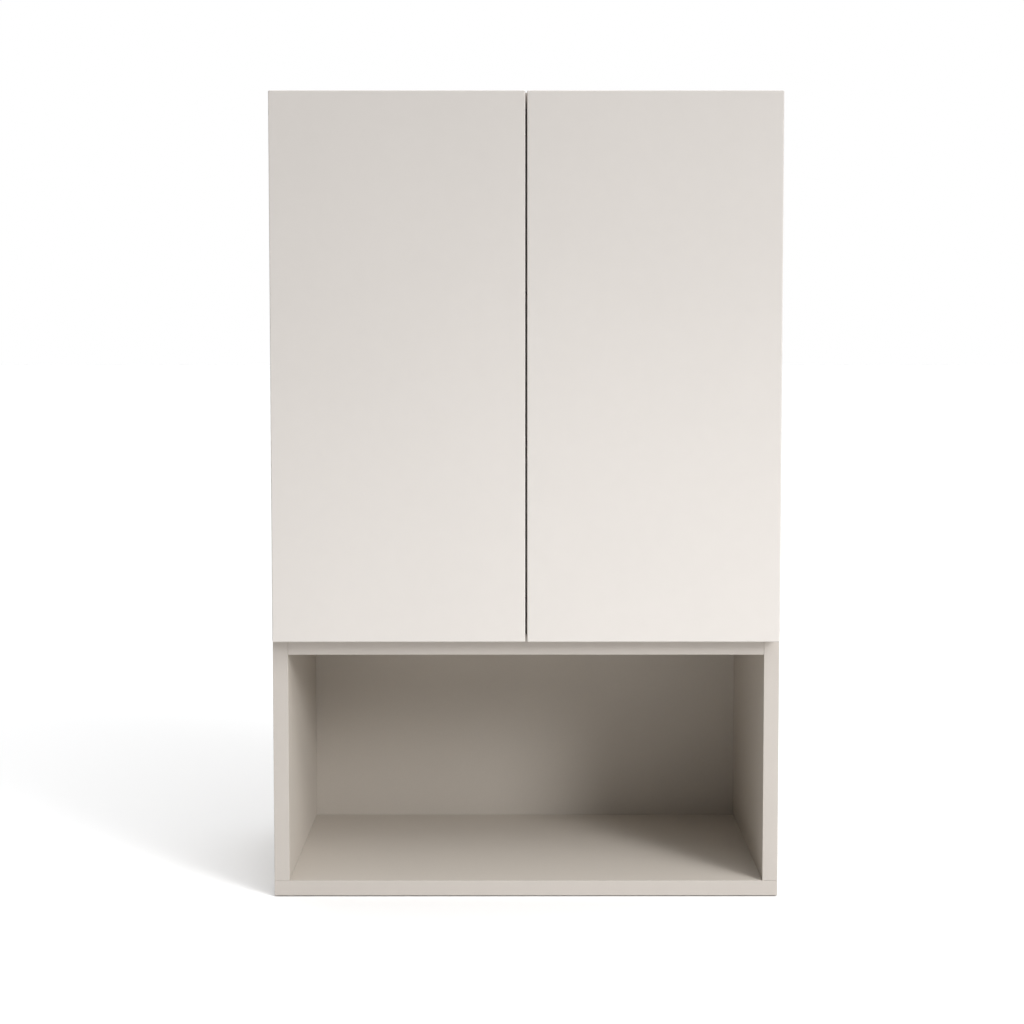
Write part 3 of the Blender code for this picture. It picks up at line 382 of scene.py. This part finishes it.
def add_floor():
    """Plain pale paper, a little below the cabinet."""
    mesh = bpy.data.meshes.new("floor")
    reach = FLOOR_SIZE / 2
    height = cad_box[0][2] - FLOOR_GAP
    signs = ((-1, -1), (1, -1), (1, 1), (-1, 1))
    corners = [(x * reach, y * reach, height) for x, y in signs]
    mesh.from_pydata(corners, [], [(0, 1, 2, 3)])
    floor = bpy.data.objects.new("floor", mesh)
    bpy.context.scene.collection.objects.link(floor)
    material, tree, shader, place = new_material("floor_paper")
    clouds = spread(tree, noise(tree, place, scale=2.0), low=0.997, high=1.003)
    fibres = noise(tree, place, scale=600.0, detail=3.0)
    bounced = add_node(tree, "ShaderNodeLightPath").outputs["Is Diffuse Ray"]
    bounce = ramp(tree, bounced, start=0.0, end=1.0, low=1.0, high=FLOOR_BOUNCE)
    paint(tree, shader, FLOOR, (clouds, bounce), spread(tree, fibres, low=0.85, high=0.95))
    mesh.materials.append(material)


def towards(azimuth, elevation):
    """Direction out from the cabinet. Azimuth 0 is to the front and 90 to the right."""
    turn = math.radians(azimuth)
    rise = math.radians(elevation)
    level = math.cos(rise)
    return Vector((math.sin(turn) * level, -math.cos(turn) * level, math.sin(rise)))


def add_ambient():
    """Soft light from wide lobes, against a plain white ground."""
    world = bpy.data.worlds.new("studio")
    bpy.context.scene.world = world
    world.use_nodes = True
    tree = world.node_tree
    tree.nodes.clear()
    place = add_node(tree, "ShaderNodeTexCoord").outputs["Generated"]
    path = add_node(tree, "ShaderNodeLightPath")
    fill = {0: path.outputs["Is Glossy Ray"], 1: GLOSS_FILL}
    total = add_node(tree, "ShaderNodeMath", fill, operation="MULTIPLY").outputs[0]
    for azimuth, elevation, power, strength in LOBES:
        dot = {0: place, 1: towards(azimuth, elevation)}
        facing = add_node(tree, "ShaderNodeVectorMath", dot, operation="DOT_PRODUCT")
        front = {0: facing.outputs["Value"], 1: 0.0}
        lit = add_node(tree, "ShaderNodeMath", front, operation="MAXIMUM").outputs[0]
        lobe = add_node(tree, "ShaderNodeMath", {0: lit, 1: power}, operation="POWER").outputs[0]
        added = {0: lobe, 1: strength, 2: total}
        total = add_node(tree, "ShaderNodeMath", added, operation="MULTIPLY_ADD").outputs[0]
    soft = add_node(tree, "ShaderNodeBackground", {"Color": (*LIGHT_COLOUR, 1), "Strength": total})
    seen = add_node(tree, "ShaderNodeBackground", {"Color": (1, 1, 1, 1), "Strength": BACKGROUND})
    mixed = {0: path.outputs["Is Camera Ray"], 1: soft.outputs[0], 2: seen.outputs[0]}
    mix = add_node(tree, "ShaderNodeMixShader", mixed)
    add_node(tree, "ShaderNodeOutputWorld", {"Surface": mix.outputs[0]})


def add_lamp(name, kind, aim, come_from, power, **settings):
    """A lamp that aims at a point from an azimuth, an elevation and a distance."""
    light = bpy.data.lights.new(name, kind)
    light.energy = power
    light.color = LIGHT_COLOUR
    for key, value in settings.items():
        setattr(light, key, value)
    lamp = bpy.data.objects.new(name, light)
    bpy.context.scene.collection.objects.link(lamp)
    azimuth, elevation, distance = come_from
    out = towards(azimuth, elevation)
    lamp.location = Vector(aim) + out * distance
    lamp.rotation_euler = (-out).to_track_quat("-Z", "Y").to_euler()


def add_light():
    add_ambient()
    add_lamp("softbox", "AREA", SOFTBOX_AIM, SOFTBOX_FROM, SOFTBOX_POWER, size=SOFTBOX_SIZE)
    cone = {
        "spot_size": math.radians(SPOT_CONE),
        "spot_blend": 1.0,
        "shadow_soft_size": SPOT_RADIUS,
    }
    add_lamp("spot", "SPOT", SPOT_AIM, SPOT_FROM, SPOT_POWER, **cone)


def add_camera():
    lens = bpy.data.cameras.new("camera")
    lens.lens = CAMERA_LENS
    lens.sensor_width = CAMERA_SENSOR
    lens.shift_x, lens.shift_y = CAMERA_SHIFT
    camera = bpy.data.objects.new("camera", lens)
    bpy.context.scene.collection.objects.link(camera)
    camera.location = CAMERA_PLACE
    turn = (math.radians(90 - CAMERA_PITCH), 0, math.radians(-CAMERA_YAW))
    camera.rotation_euler = Euler(turn)
    bpy.context.scene.camera = camera


dress_nodes()
add_glue()
add_floor()
add_light()
add_camera()
bpy.context.scene.view_settings.view_transform = "Standard"
bpy.context.scene.view_settings.look = "None"
